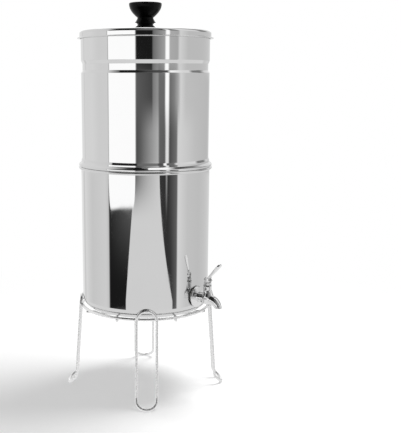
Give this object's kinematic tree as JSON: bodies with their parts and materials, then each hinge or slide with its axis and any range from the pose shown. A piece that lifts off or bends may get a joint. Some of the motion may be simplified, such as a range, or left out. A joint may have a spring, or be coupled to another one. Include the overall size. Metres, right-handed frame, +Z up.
{
  "type": "gravity water filter",
  "caption": "Free-standing gravity water filter: stacked polished vessels on a wire stand, domed lid with a black knob, lever tap and a ceramic filter element inside.",
  "frame": {"origin": "on the floor, under the vessels' axis", "axes": "+Z up along the vessels' axis; the tap points to -Y"},
  "size_m": [0.248, 0.2992, 0.712],
  "materials": {
    "polished_steel": "mirror polished stainless sheet",
    "bright_wire": "bright plated round wire",
    "cast_steel": "polished casting",
    "spring_steel": "plain drawn wire",
    "black_gloss_plastic": "glossy black",
    "brass": "turned",
    "ceramic": "fine white ceramic, matt",
    "carbon_core": "pressed granules",
    "tan_plastic": "moulded, satin",
    "white_plastic": "moulded, satin",
    "silicone": "translucent white silicone",
    "black_rubber": "matt"
  },
  "bodies": {
    "stand": {"stand_ring": "bright_wire", "stand_rod_upper_left": "bright_wire", "stand_rod_upper_right": "bright_wire", "stand_rod_lower_left": "bright_wire", "stand_rod_lower_right": "bright_wire", "stand_leg_1": "bright_wire", "stand_leg_2": "bright_wire", "stand_leg_3": "bright_wire", "stand_leg_4": "bright_wire"},
    "lower_vessel": {"lower_chamber": "polished_steel", "tap_body": "cast_steel", "tap_outer_seal": "silicone", "tap_inner_seal": "silicone", "tap_lock_nut": "cast_steel", "tap_bonnet": "cast_steel", "tap_bonnet_seal": "black_rubber", "tap_spring": "spring_steel"},
    "tap_plunger": {"tap_stem": "cast_steel", "tap_seat_cup": "silicone", "tap_lever_pin": "cast_steel"},
    "tap_lever": {"tap_lever": "cast_steel"},
    "upper_vessel": {"upper_chamber": "polished_steel", "element_shell": "ceramic", "element_core": "carbon_core", "element_cap": "tan_plastic", "element_seal": "silicone", "element_wing_nut": "tan_plastic", "plug_1": "white_plastic", "plug_2": "white_plastic", "plug_seal_1": "silicone", "plug_seal_2": "silicone", "plug_nut_1": "white_plastic", "plug_nut_2": "white_plastic"},
    "lid": {"lid_cover": "polished_steel", "knob": "black_gloss_plastic", "knob_insert": "brass", "knob_screw": "cast_steel", "knob_washer": "cast_steel"}
  },
  "joints": [
    {"name": "lower_vessel_lift", "type": "slide", "parent": "stand", "child": "lower_vessel", "axis": [0, 0, 1], "range_m": [0, 0.06]},
    {"name": "upper_vessel_lift", "type": "slide", "parent": "lower_vessel", "child": "upper_vessel", "axis": [0, 0, 1], "range_m": [0, 0.12]},
    {"name": "lid_lift", "type": "slide", "parent": "upper_vessel", "child": "lid", "axis": [0, 0, 1], "range_m": [0, 0.12]},
    {"name": "plunger_lift", "type": "slide", "parent": "lower_vessel", "child": "tap_plunger", "axis": [0, 0, 1], "range_m": [0, 0.0024], "stiffness_N_per_m": 60, "springref_m": -0.004, "deforming": ["tap_spring"]},
    {"name": "lever_tilt", "type": "hinge", "parent": "tap_plunger", "child": "tap_lever", "pos_m": [0, -0.14218, 0.2222], "axis": [1, 0, 0], "range_deg": [0, 40.2]}
  ],
  "couplings": [
    {"joint": "lever_tilt", "follows": "plunger_lift", "rad_per_m": 290.89}
  ]
}
